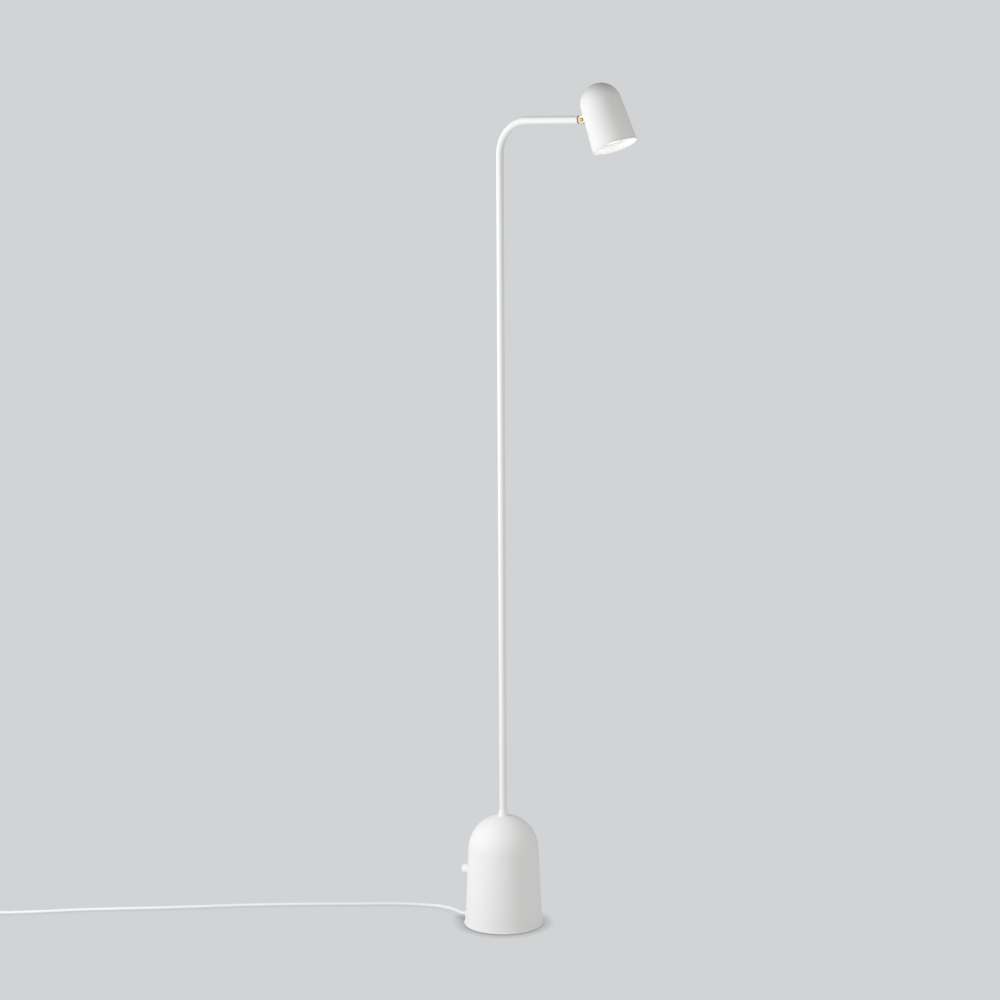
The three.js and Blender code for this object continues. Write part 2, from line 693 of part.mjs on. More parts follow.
const lamp_pin_radius = 2;
const lamp_pin_places = [-5, 5];
const lamp_pin_top = 11;
function lampHolder() {
  const body = turned([[0, holder_front], [14, holder_front], [14, 13], [12.8, holder_back],
    [0, holder_back]], 24);
  const socket = () => rod(lamp_pin_radius + 0.8, holder_front - 1, lamp_pin_top + 2, 14);
  const sockets = lamp_pin_places.map((x) => socket().translate(x, 0, 0));
  const hole = () => rod(bracket_screw_radius + gap, bracket_screw_tip - 0.5, holder_back + 1, 10);
  const screw_holes = bracket_screw_places.map((x) => hole().translate(x, 0, 0));
  return cut(body, ...sockets, ...screw_holes);
}
add(bell_frame, 'lamp_holder', lampHolder(), finish(0xefece4, 0.6));

function bracketScrew() {
  const seat = bracket_top + bracket_thickness + gap;
  return turned([[0, bracket_screw_tip], [bracket_screw_radius, bracket_screw_tip],
    [bracket_screw_radius, seat], [2.2, seat], [2.2, seat + 0.9], [1.6, seat + 1.3], [0, seat + 1.3]], 12);
}
bracket_screw_places.forEach((x, i) => {
  add(bell_frame, `bracket_screw_${i + 1}`, bracketScrew().translate(x, 0, 0), zinc_steel());
});

// Reflector lamp: body, front lens and two contact pins.
const lamp_face = -50;
const lamp_back = holder_front - gap;
function lampBody() {
  return turned([[0, lamp_back], [13, lamp_back], [14, lamp_back - 2], [14.4, -8], [17.2, -16],
    [23.4, -33], [24.6, -37], [24.6, lamp_face + 0.6], [24.2, lamp_face], [22.4, lamp_face],
    [22.4, lamp_face + 2.6], [0, lamp_face + 2.6]], 24);
}
const pin_seat = () => rod(lamp_pin_radius + gap, 0, lamp_back + 1, 12);
add(bell_frame, 'lamp_body', cut(lampBody(), ...lamp_pin_places.map((x) => pin_seat().translate(x, 0, 0))),
  white_plastic());
add(bell_frame, 'lamp_lens', turned([[0, lamp_face + 0.2], [21.4, lamp_face + 0.2], [22, lamp_face + 0.6],
  [22, lamp_face + 2.2], [0, lamp_face + 2.2]], 24), finish(0xffffff, 0.3));

const lampPin = () => turned([[0, 0.4], [lamp_pin_radius, 0.4], [lamp_pin_radius, lamp_pin_top - 0.8],
  [lamp_pin_radius - 0.6, lamp_pin_top], [0, lamp_pin_top]], 12);
lamp_pin_places.forEach((x, i) => {
  add(bell_frame, `lamp_pin_${i + 1}`, lampPin().translate(x, 0, 0), brass());
});

export default lamp;
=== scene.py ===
"""Adjustable arm floor lamp: the visible pieces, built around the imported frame.

Lengths are in metres in the frame's own axes: +Z up, +X along the arm, the floor at zero.
"""
import json
import math

import bmesh
import bpy
from mathutils import Matrix, Vector


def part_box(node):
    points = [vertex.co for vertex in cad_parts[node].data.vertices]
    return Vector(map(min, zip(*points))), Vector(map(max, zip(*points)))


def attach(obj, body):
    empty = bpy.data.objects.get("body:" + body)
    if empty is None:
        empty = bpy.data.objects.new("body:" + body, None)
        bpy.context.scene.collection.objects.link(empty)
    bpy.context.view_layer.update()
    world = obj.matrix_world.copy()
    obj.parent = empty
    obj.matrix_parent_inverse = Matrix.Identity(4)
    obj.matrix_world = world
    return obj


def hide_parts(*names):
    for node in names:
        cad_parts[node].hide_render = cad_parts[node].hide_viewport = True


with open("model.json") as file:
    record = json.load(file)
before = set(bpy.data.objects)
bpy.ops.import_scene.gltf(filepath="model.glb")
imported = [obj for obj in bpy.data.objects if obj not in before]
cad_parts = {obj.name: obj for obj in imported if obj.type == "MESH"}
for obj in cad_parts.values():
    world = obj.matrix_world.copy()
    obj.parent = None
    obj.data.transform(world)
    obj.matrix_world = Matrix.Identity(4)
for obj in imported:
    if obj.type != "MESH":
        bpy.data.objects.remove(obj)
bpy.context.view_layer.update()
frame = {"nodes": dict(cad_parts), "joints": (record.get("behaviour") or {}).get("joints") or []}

mm = 0.001
degree = math.pi / 180
joints = {joint["name"]: joint for joint in frame["joints"]}


# ---------- places taken from the frame ----------

arm_end = Vector(joints["head_swivel"]["pos_m"])
pivot = Vector(joints["head_tilt"]["pos_m"])
dimmer_seat = Vector(joints["dimmer_turn"]["pos_m"])  # on the wall's outer face
shell_low, shell_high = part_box("base_shell")

# ---------- driving dimensions, shared with the CAD part ----------

gap = 0.3 * mm
sharp_angle = 50 * degree  # an edge that turns more than this is shaded sharp
bell_taper = 2.65 * degree
knob_turn = 2 * degree  # knob and lead stand this far off the arm's plane
lead_turn = 19 * degree

base_bell = {"radius": 49.8 * mm, "flare_height": 15 * mm, "flare_out": 1.5 * mm, "wall": 1.5 * mm}
base_bell["lip_out"] = 0.7 * mm  # the rim turns out a little more over its last lip_height
head_bell = {"radius": 27.6 * mm, "flare_height": 8 * mm, "flare_out": 0.5 * mm, "wall": 1.2 * mm}
head_bell["depth"] = 60.6 * mm
head_bell["lip_out"] = 0
lip_height = 2.4 * mm
lip_rounding = 0.55 * mm
head_tilt = 22 * degree
head_reach = 34.05 * mm
head_rise = 8.25 * mm

pole_radius = 5.2 * mm
pole_bore = 4.2 * mm
pole_foot = 136 * mm
bend_radius = 46 * mm

lead_radius = 2.5 * mm
lead_exit_height = 8 * mm
lead_floor = 2.6 * mm

pole_hole = pole_radius + gap
dome_to_crown = math.sqrt(base_bell["radius"] ** 2 - pole_hole ** 2)
base_centre = shell_high.z - dome_to_crown  # height of the dome's centre
base_bell["depth"] = base_centre - shell_low.z

lead_side = Matrix.Rotation(lead_turn, 4, "Z")  # local -X points to the lead's exit
dimmer_frame = (
    Matrix.Translation(dimmer_seat) @ Matrix.Rotation(knob_turn, 4, "Z")
    @ Matrix.Rotation(bell_taper - math.pi / 2, 4, "Y")
)
head_frame = Matrix.Translation(pivot) @ Matrix.Rotation(-head_tilt, 4, "Y")
bell_frame = head_frame @ Matrix.Translation((head_reach, 0, head_rise))
along_x = Matrix.Rotation(math.pi / 2, 4, "Y")  # lays a piece turned about Z along X
along_y = Matrix.Rotation(-math.pi / 2, 4, "X")


# ---------- camera ----------

def make_camera():
    distance = 3.3438  # from the pole, level
    height = 1.1059
    azimuth = 36.78 * degree
    pitch = 8.434 * degree
    roll = -0.30 * degree
    aim = 0.04 * degree  # the camera points this far left of the pole
    data = bpy.data.cameras.new("camera")
    data.sensor_width = 36
    data.lens = 87.40
    data.clip_end = 200
    camera = bpy.data.objects.new("camera", data)
    bpy.context.scene.collection.objects.link(camera)
    camera.matrix_world = (
        Matrix.Translation((distance * math.sin(azimuth), -distance * math.cos(azimuth), height))
        @ Matrix.Rotation(azimuth + aim, 4, "Z")
        @ Matrix.Rotation(math.pi / 2 - pitch, 4, "X")
        @ Matrix.Rotation(roll, 4, "Z")
    )
    bpy.context.scene.camera = camera


make_camera()


# ---------- materials ----------

def node(tree, kind, inputs=None, **settings):
    """A shader node. Each input is a value or another node's output."""
    made = tree.nodes.new("ShaderNode" + kind)
    for name, value in settings.items():
        setattr(made, name, value)
    for name, value in (inputs or {}).items():
        if isinstance(value, bpy.types.NodeSocket):
            tree.links.new(value, made.inputs[name])
        else:
            made.inputs[name].default_value = value
    return made


def noise(tree, place, scale, detail=2.0, roughness=0.5):
    return node(tree, "TexNoise", {
        "Vector": place, "Scale": scale, "Detail": detail, "Roughness": roughness,
    }).outputs["Fac"]


def spread(tree, value, low, high, from_low=0.3, from_high=0.7):
    return node(tree, "MapRange", {
        "Value": value, "From Min": from_low, "From Max": from_high, "To Min": low, "To Max": high,
    }).outputs["Result"]


def shade(colour, factor):
    return (colour[0] * factor, colour[1] * factor, colour[2] * factor, 1)


def finish(name, colour, worn, roughness, metallic=0.0, grain=(700, 0.02), mottle=25, stretch=(1, 1, 1),
           emission=0.0):
    """A surface whose colour drifts from colour to worn, with a fine relief.

    grain is the relief's scale per metre and its depth in millimetres, mottle the scale of the drift,
    roughness its lowest and highest value, and stretch slows the grain along an axis.
    """
    material = bpy.data.materials.new(name)
    material.use_nodes = True
    tree = material.node_tree
    tree.nodes.clear()
    grain_scale, grain_depth = grain
    smoothest, roughest = roughness
    place = node(tree, "TexCoord").outputs["Object"]
    combed = node(tree, "VectorMath", {0: place, 1: stretch}, operation="MULTIPLY").outputs["Vector"]
    drift = noise(tree, place, mottle, 4, 0.6)
    fine = noise(tree, combed, grain_scale, 3, 0.55)
    speckle = noise(tree, combed, grain_scale * 2.3, 2)
    tint = node(tree, "Mix", {
        "Factor": spread(tree, drift, 0, 1), "A": shade(colour, 1), "B": shade(worn, 1),
    }, data_type="RGBA")
    grime = node(tree, "Mix", {
        "Factor": spread(tree, speckle, 0, 0.10), "A": tint.outputs[2], "B": shade(worn, 0.82),
    }, data_type="RGBA")
    bump = node(tree, "Bump", {"Height": fine, "Distance": grain_depth * mm, "Strength": 1.0})
    body = node(tree, "BsdfPrincipled", {
        "Base Color": grime.outputs[2],
        "Roughness": spread(tree, drift, smoothest, roughest),
        "Metallic": metallic,
        "Normal": bump.outputs["Normal"],
    })
    if emission:
        body.inputs["Emission Color"].default_value = shade(colour, 1)
        body.inputs["Emission Strength"].default_value = emission
    output = node(tree, "OutputMaterial")
    tree.links.new(body.outputs[0], output.inputs["Surface"])
    return material


finishes = {
    "white_powder_coat": finish("powder_coat", (0.86, 0.86, 0.85), (0.84, 0.84, 0.825), (0.62, 0.72),
                                grain=(850, 0.005), mottle=9),
    "white_plastic": finish("moulded_white", (0.86, 0.86, 0.85), (0.83, 0.83, 0.81), (0.38, 0.48),
                            grain=(1600, 0.006), mottle=30),
    "white_cable": finish("cable_sheath", (0.86, 0.86, 0.87), (0.82, 0.82, 0.82), (0.50, 0.62),
                          grain=(1200, 0.01), mottle=14),
    "brass": finish("satin_brass", (0.47, 0.40, 0.27), (0.39, 0.32, 0.20), (0.42, 0.52), metallic=1.0,
                    grain=(2600, 0.004), mottle=120, stretch=(1, 0.12, 1)),
    "zinc_steel": finish("zinc_plate", (0.62, 0.64, 0.66), (0.50, 0.53, 0.55), (0.30, 0.45), metallic=1.0,
                         grain=(1500, 0.008), mottle=90),
    "cast_iron": finish("cast_iron", (0.11, 0.11, 0.115), (0.16, 0.13, 0.11), (0.65, 0.85), metallic=0.4,
                        grain=(600, 0.12), mottle=45),
    "black_foam": finish("foam_pad", (0.035, 0.035, 0.038), (0.055, 0.055, 0.057), (0.85, 0.95),
                         grain=(1400, 0.09), mottle=60),
    "dark_plastic": finish("moulded_dark", (0.028, 0.029, 0.031), (0.045, 0.045, 0.047), (0.40, 0.55),
                           grain=(1300, 0.012), mottle=50),
    "ceramic": finish("ceramic", (0.80, 0.77, 0.70), (0.74, 0.70, 0.62), (0.55, 0.75),
                      grain=(900, 0.03), mottle=60),
    "lamp_lens": finish("frosted_lens", (0.95, 0.94, 0.91), (0.92, 0.91, 0.87), (0.25, 0.35),
                        grain=(2200, 0.01), mottle=60, emission=1.8),
}
lamp_glass = finish("lamp_glass", (0.92, 0.91, 0.89), (0.88, 0.87, 0.85), (0.30, 0.40),
                    grain=(1800, 0.006), mottle=40, emission=0.62)
tie_fabric = finish("tie_fabric", (0.30, 0.31, 0.32), (0.22, 0.23, 0.24), (0.85, 0.95),
                    grain=(3000, 0.15), mottle=400)


# ---------- mesh helpers ----------

def fillet(corners, steps=4):
    """A plane line whose corners are rounded. A corner is (x, y) or (x, y, radius)."""
    line = []
    for i, corner in enumerate(corners):
        here = Vector(corner[:2])
        radius = corner[2] if len(corner) > 2 else 0
        if radius == 0:
            line.append(here)
            continue
        back = (Vector(corners[i - 1][:2]) - here).normalized()
        ahead = (Vector(corners[(i + 1) % len(corners)][:2]) - here).normalized()
        half = back.angle(ahead) / 2
        centre = here + (back + ahead).normalized() * radius / math.sin(half)
        start = here + back * radius / math.tan(half) - centre
        end = here + ahead * radius / math.tan(half) - centre
        for k in range(steps + 1):
            line.append(centre + start.lerp(end, k / steps).normalized() * radius)
    return line


def lathe(profile, segments=96):
    """A solid of revolution about Z. The profile of (radius, height) ends on the axis or on its start."""
    tiny = 1e-7
    points = [Vector(p[:2]) for p in profile]
    ring_closed = (points[0] - points[-1]).length < tiny
    if ring_closed:
        points.pop()
    verts, rings, faces = [], [], []
    for radius, height in points:
        count = 1 if radius < tiny else segments
        rings.append(range(len(verts), len(verts) + count))
        for i in range(count):
            angle = 2 * math.pi * i / segments
            verts.append((radius * math.cos(angle), radius * math.sin(angle), height))
    pairs = list(zip(rings, rings[1:]))
    if ring_closed:
        pairs.append((rings[-1], rings[0]))
    for a, b in pairs:
        for i in range(segments):
            j = (i + 1) % segments
            corners = [a[i % len(a)], a[j % len(a)], b[j % len(b)], b[i % len(b)]]
            face = list(dict.fromkeys(corners))
            if len(face) > 2:
                faces.append(face)
    return verts, faces


def loft(sections, ring_closed=False):
    """A skin over closed sections of equally many points, capped at both ends unless ring_closed."""
    count = len(sections[0])
    verts = [tuple(p) for section in sections for p in section]
    faces = []
    pairs = [(k, k + 1) for k in range(len(sections) - 1)]
    if ring_closed:
        pairs.append((len(sections) - 1, 0))
    for a, b in pairs:
        for i in range(count):
            j = (i + 1) % count
            faces.append((a * count + i, a * count + j, b * count + j, b * count + i))
    if not ring_closed:
        faces.append(tuple(range(count)))
        faces.append(tuple(range(len(verts) - count, len(verts))))
    return verts, faces


def prism(outline, low, high):
    """A plate of a plane outline between two heights."""
    return loft([[(x, y, height) for x, y in outline] for height in (low, high)])


def eye_plate(outline, hole, low, high, turns):
    """A plate round a hole. outline gives its distance from the hole's centre in each direction."""
    sections = []
    for angle in turns:
        out = outline(angle)
        c, s = math.cos(angle), math.sin(angle)
        sections.append([(out * c, out * s, low), (out * c, out * s, high),
                         (hole * c, hole * s, high), (hole * c, hole * s, low)])
    return loft(sections, ring_closed=True)


def solid(name, shape, matrix=None):
    """An object from vertices and faces, with its normals facing out and smooth shading."""
    mesh = bpy.data.meshes.new(name)
    verts, faces = shape
    mesh.from_pydata(verts, [], faces)
    if matrix is not None:
        mesh.transform(matrix)
    work = bmesh.new()
    work.from_mesh(mesh)
    bmesh.ops.recalc_face_normals(work, faces=work.faces)
    work.to_mesh(mesh)
    work.free()
    mesh.shade_smooth()
    made = bpy.data.objects.new(name, mesh)
    bpy.context.scene.collection.objects.link(made)
    return made


def settle(made):
    """Makes an object's modifiers part of its mesh."""
    graph = bpy.context.evaluated_depsgraph_get()
    mesh = bpy.data.meshes.new_from_object(made.evaluated_get(graph))
    made.modifiers.clear()
    made.data = mesh
    return made


def bevel(made, width, segments=3, angle=40 * degree):
    modifier = made.modifiers.new("bevel", "BEVEL")
    modifier.width = width
    modifier.segments = segments
    modifier.limit_method = "ANGLE"
    modifier.angle_limit = angle
    return settle(made)


def combine(made, operation, *others):
    """Joins, cuts or intersects an object with others, which are used up."""
    for other in others:
        modifier = made.modifiers.new("combine", "BOOLEAN")
        modifier.operation = operation
        modifier.solver = "EXACT"
        modifier.object = other
        settle(made)
        bpy.data.objects.remove(other)
    return made


def piece(made, slot, body, *nodes):
    """Finishes an object as a visible piece: its material, its body and the CAD nodes that it stands for."""
    made.data.materials.clear()
    made.data.materials.append(finishes[slot])
    if made.type == "MESH":
        made.data.shade_smooth()
        made.data.set_sharp_from_angle(angle=sharp_angle)
        normals = made.modifiers.new("normals", "WEIGHTED_NORMAL")
        normals.keep_sharp = True
    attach(made, body)
    if nodes:
        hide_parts(*nodes)
    return made


def turned(name, corners, slot, body, *nodes, matrix=None, segments=96):
    """A turned piece from the rounded corners of its profile."""
    return piece(solid(name, lathe(fillet(corners), segments), matrix), slot, body, *nodes)


def transported(points):
    """A frame (side, up) at each point of a path, carried along it without twist."""
    tangents = []
    for i in range(len(points)):
        before, after = points[max(i - 1, 0)], points[min(i + 1, len(points) - 1)]
        tangents.append((after - before).normalized())
    side = tangents[0].orthogonal().normalized()
    frames = []
    for tangent in tangents:
        side = (side - tangent * side.dot(tangent)).normalized()
        frames.append((side, tangent.cross(side)))
    return frames


# ---------- mains lead ----------

lead_route = [  # in mm, from the gland to the coil, on the floor from the ninth point
    (-57.1, -19.7, 8), (-61.2, -20, 8), (-66.2, -17.6, 7.9), (-72.2, -14.9, 7.6), (-84.7, -10.6, 6.7),
    (-96.8, -6.9, 5.5), (-108, -4.4, 4.2), (-121.7, -4.7, 2.9), (-135.9, -10, 2.6), (-152, -17.9, 2.6),
    (-170, -28, 2.6), (-216, -62, 2.6), (-264, -98, 2.6), (-308, -132, 2.6), (-349, -166, 2.6),
    (-398, -210, 2.6), (-441, -248, 2.6), (-484, -284, 2.6), (-529, -323, 2.6), (-570, -363, 2.6),
    (-613, -400, 2.6), (-636, -416, 2.6),
]
tail_route = [  # in mm, distance from the coil and height, down to the plug
    (20.5, 16.4), (30, 13.4), (40, 10), (49, 7.7), (58, 7),
]
coil_entry = Vector((-658, -432, 0)) * mm
coil_heading = 215.4 * degree
tail_heading = 180 * degree
coil_outer = 34.8 * mm
coil_inner = 26.6 * mm
coil_layers = 4
coil_step = 5.1 * mm
coil_turns = 6  # whole turns, besides the part of a turn between the two headings
tie_thickness = 0.35 * mm
coil_floor = lead_floor + tie_thickness  # the turns lie on the tie


def level(angle, radius=1.0):
    return Vector((radius * math.cos(angle), radius * math.sin(angle), 0))


coil_centre = coil_entry + level(coil_heading - math.pi / 2, coil_outer)
tail_start = coil_centre + level(tail_heading + math.pi / 2, coil_outer)
tail_frame = Matrix.Translation(tail_start) @ Matrix.Rotation(tail_heading, 4, "Z")


def smooth(value):
    value = min(max(value, 0), 1)
    return value * value * (3 - 2 * value)


def coil_points(per_turn=16):
    """The turns, clockwise seen from above, in layers that wind inwards and outwards by turns."""
    sweep = coil_heading - tail_heading + 2 * math.pi * coil_turns
    count = round(sweep / (2 * math.pi) * per_turn)
    climb = 0.16  # share of a layer over which the lead climbs to the next one
    points = []
    for i in range(count + 1):
        place = coil_layers * i / count
        layer = min(int(place), coil_layers - 1)
        inwards = place - layer if layer % 2 == 0 else layer + 1 - place
        radius = coil_outer + (coil_inner - coil_outer) * inwards
        risen = sum(smooth((place - edge) / climb + 0.5) for edge in range(1, coil_layers))
        at = coil_centre + level(coil_heading + math.pi / 2 - sweep * i / count, radius)
        points.append(at + Vector((0, 0, coil_floor + coil_step * risen)))
    return points


def lead_points():
    start = lead_side @ Vector((-55 * mm, 0, lead_exit_height))
    points = [start] + [Vector(p) * mm for p in lead_route] + coil_points()
    return points + [tail_frame @ Vector((x * mm, 0, z * mm)) for x, z in tail_route]


def make_lead():
    curve = bpy.data.curves.new("lead", "CURVE")
    curve.dimensions = "3D"
    curve.bevel_depth = lead_radius
    curve.bevel_resolution = 6
    curve.resolution_u = 8
    curve.use_fill_caps = True
    points = lead_points()
    spline = curve.splines.new("BEZIER")
    spline.bezier_points.add(len(points) - 1)
    for knot, point in zip(spline.bezier_points, points):
        knot.co = point
        knot.handle_left_type = "AUTO"
        knot.handle_right_type = "AUTO"
    made = bpy.data.objects.new("lead", curve)
    bpy.context.scene.collection.objects.link(made)
    return piece(made, "white_cable", "base", "mains_lead", "lead_coil", "lead_tail")


def make_gland():
    """Flange and short tapered sleeve that the lead leaves the shell through."""
    wall, flange, tip = 54.6, 57.2, 59.5  # in mm, like every number of the profile
    bore, flange_radius = 2.55, 4.9
    groove_low, groove_high = 58.1, 58.5
    corners = [(bore, wall), (flange_radius, wall), (flange_radius, flange, 0.5), (3.9, flange, 0.25),
               (3.8, groove_low - 0.2, 0.12), (3.35, groove_low, 0.1), (3.3, groove_high, 0.1),
               (3.6, groove_high + 0.2, 0.12), (3.2, tip, 0.3), (bore, tip), (bore, wall)]
    corners = [tuple(value * mm for value in corner) for corner in corners]
    matrix = lead_side @ Matrix.Translation((0, 0, lead_exit_height)) @ Matrix.Rotation(-math.pi / 2, 4, "Y")
    return turned("strain_relief", corners, "white_plastic", "base", "lead_gland", matrix=matrix)


plug_face = 94 * mm
plug_height = 7 * mm
pin_places = (-9.3 * mm, 9.3 * mm)
plug_stations = [  # distance, half width, half thickness, squareness of the section; lengths in mm
    (58, 3.3, 3.3, 2), (66, 4.2, 4.2, 2), (67, 5.6, 5.0, 2.3), (70, 6.6, 5.7, 2.6), (76, 9.4, 6.3, 3),
    (83, 15.0, 6.7, 3.4), (87, 17.2, 6.8, 3.8), (92.8, 17.4, 6.8, 4), (93.6, 17.1, 6.5, 4),
    (94, 16.4, 5.9, 4),
]


def plug_size(s):
    """Half width, half thickness and squareness at a distance, between two stations."""
    after = next(i for i, station in enumerate(plug_stations) if station[0] >= s - 1e-9)
    a, b = plug_stations[max(after - 1, 0)], plug_stations[after]
    share = (s - a[0]) / (b[0] - a[0]) if b[0] > a[0] else 0
    return (a[i] + (b[i] - a[i]) * share for i in (1, 2, 3))


def make_plug():
    """Flat two-pin plug: a ribbed neck that widens into the body, with grip ribs on its flat sides."""
    around, along = 72, 144
    start, end = 58, 94
    ridges_low, ridges_high = 59.5, 65.5  # rings that let the neck bend
    grip_low, grip_high = 74, 86
    rib_height, groove_depth = 0.5, 0.55
    sections = []
    for k in range(along + 1):
        s = start + (end - start) * k / along
        half_width, half_thickness, power = plug_size(s)
        if ridges_low < s < ridges_high:
            groove = groove_depth * max(0, math.sin((s - ridges_low) * math.pi)) ** 0.7
            half_width -= groove
            half_thickness -= groove
        section = []
        for i in range(around):
            angle = 2 * math.pi * i / around
            c, d = math.cos(angle), math.sin(angle)
            y = half_width * math.copysign(abs(c) ** (2 / power), c)
            z = half_thickness * math.copysign(abs(d) ** (2 / power), d)
            if grip_low < s < grip_high:
                ribs = rib_height * (0.5 - 0.5 * math.cos((s - grip_low) * math.pi))
                edge = smooth((0.62 * half_width - abs(y)) / 1.2)
                z -= math.copysign(ribs * edge, z)
            section.append((s * mm, y * mm, z * mm + plug_height))
        sections.append(section)
    return piece(solid("plug_moulding", loft(sections), tail_frame), "white_plastic", "base", "plug_body")


def pin_matrix(place):
    return tail_frame @ Matrix.Translation((plug_face, place, plug_height)) @ along_x


def make_pins():
    pins, sleeves = [], []
    for place in pin_places:
        root, tip, radius = -6, 19, 2  # in mm from the plug's face
        pin = [(0, root), (radius, root), (radius, tip, 1.1), (0, tip)]
        sleeve = [(1.9, -1), (2.25, -1), (2.25, 10, 0.15), (1.9, 10), (1.9, -1)]
        for found, corners in ((pins, pin), (sleeves, sleeve)):
            corners = [tuple(value * mm for value in corner) for corner in corners]
            found.append(solid("pin", lathe(fillet(corners), 32), pin_matrix(place)))
    metal = piece(joined("plug_prongs", pins), "zinc_steel", "base", "plug_pin_1", "plug_pin_2")
    insulation = piece(joined("prong_sleeves", sleeves), "dark_plastic", "base")
    return metal, insulation


def joined(name, parts):
    """One object from several, each of which stays a closed body of its own."""
    mesh = bpy.data.meshes.new(name)
    work = bmesh.new()
    for part in parts:
        work.from_mesh(part.data)
        bpy.data.objects.remove(part)
    work.to_mesh(mesh)
    work.free()
    made = bpy.data.objects.new(name, mesh)
    bpy.context.scene.collection.objects.link(made)
    return made


def make_tie():
    """Hook-and-loop strip round the turns, whose end overlaps its start."""
    half_width = 4 * mm
    low = coil_floor - lead_radius - tie_thickness / 2
    high = coil_floor + coil_step * (coil_layers - 1) + lead_radius + tie_thickness / 2
    inner = coil_inner - lead_radius - tie_thickness / 2
    outer = coil_outer + lead_radius + tie_thickness / 2
    corner = lead_radius + tie_thickness / 2
    loop = [(outer, low, corner), (outer, high, corner), (inner, high, corner), (inner, low, corner)]
    loop = fillet(loop, 8)
    middle = Vector(((inner + outer) / 2, (low + high) / 2))
    overlap = 12  # points of the loop that the end passes again, on top of the start
    start = 4
    around_coil = 62 * degree
    outwards, tangent = level(around_coil), level(around_coil + math.pi / 2)
    sections = []
    for i in range(len(loop) + overlap):
        point = loop[(start + i) % len(loop)]
        lift = 1.15 * tie_thickness * smooth((i - len(loop) + 5) / 5)
        away = (point - middle).normalized()
        section = []
        for across, out in ((-1, -0.5), (1, -0.5), (1, 0.5), (-1, 0.5)):
            place = point + away * (lift + out * tie_thickness)
            section.append(coil_centre + outwards * place.x + tangent * half_width * across
                           + Vector((0, 0, place.y)))
        sections.append(section)
    made = piece(solid("lead_tie", loft(sections)), "black_foam", "base")
    made.data.materials[0] = tie_fabric
    return made


lead = make_lead()
gland = make_gland()
plug = make_plug()
prongs, prong_sleeves = make_pins()
tie = make_tie()


# ---------- bells ----------

def bell_corners(bell, offset, crown_hole, steps=40):
    """One side of a bell's wall from its crown down to its lip, measured from the dome's centre."""
    radius = bell["radius"] + offset
    start = math.acos(crown_hole / radius)
    line = []
    for i in range(steps + 1):
        angle = start + (bell_taper - start) * i / steps
        line.append((radius * math.cos(angle), radius * math.sin(angle)))
    side, top = line[-1]
    slope = math.tan(bell_taper)
    flare_top = -bell["depth"] + bell["flare_height"]
    for i in range(1, 4):
        height = top + (flare_top - top) * i / 3
        line.append((side + (top - height) * slope, height))
    above_lip = [bell["flare_height"] * (1 - i / 12) for i in range(1, 10)]
    for distance in above_lip + [lip_height, 1.8 * mm, 1.2 * mm, 0.7 * mm, 0]:
        height = distance - bell["depth"]
        out = bell["flare_out"] * (1 - distance / bell["flare_height"]) ** 2
        out += bell["lip_out"] * max(0, 1 - distance / lip_height) ** 2
        line.append((side + (top - height) * slope + out, height))
    return line


def bell_shape(bell, crown_hole, segments):
    """A bell's wall, with a rounded lip."""
    outside = bell_corners(bell, 0, crown_hole)
    inside = bell_corners(bell, -bell["wall"], crown_hole)
    outside[-1] += (lip_rounding,)
    inside[-1] += (lip_rounding,)
    profile = fillet(outside + inside[::-1])
    if crown_hole > 0:
        profile.append(profile[0])
    return lathe(profile, segments)


# ---------- base ----------

def crown(distance):
    """Height of the base's outer surface at a distance from its axis, on the dome."""
    return base_centre + math.sqrt(base_bell["radius"] ** 2 - distance ** 2)


def make_base_shell():
    matrix = Matrix.Translation((0, 0, base_centre))
    return piece(solid("bell_base", bell_shape(base_bell, pole_hole, 160), matrix),
                 "white_powder_coat", "base", "base_shell")


def make_collar():
    reach = 7.9 * mm
    foot = crown(reach)
    inside = pole_radius + 0.05 * mm
    corners = [(inside, crown(inside)), (reach, foot), (7.75 * mm, foot + 1.3 * mm, 0.8 * mm),
               (6.7 * mm, foot + 3.3 * mm, 3 * mm), (6.1 * mm, foot + 6.2 * mm, 2 * mm),
               (5.6 * mm, foot + 7.4 * mm, 0.25 * mm), (inside, foot + 7.5 * mm), (inside, crown(inside))]
    return turned("collar", corners, "white_powder_coat", "base", "pole_collar")


pad_low, pad_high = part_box("foot_pad")
plate_low, plate_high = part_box("base_plate")
screw_boxes = [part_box(f"plate_screw_{i}") for i in (1, 2, 3)]
screw_places = [(low + high) / 2 for low, high in screw_boxes]
screw_head = (screw_boxes[0][1].x - screw_boxes[0][0].x) / 2


def rod(radius, low, high, at=(0, 0), segments=48):
    matrix = Matrix.Translation((at[0], at[1], 0))
    return solid("rod", lathe([(0, low), (radius, low), (radius, high), (0, high)], segments), matrix)


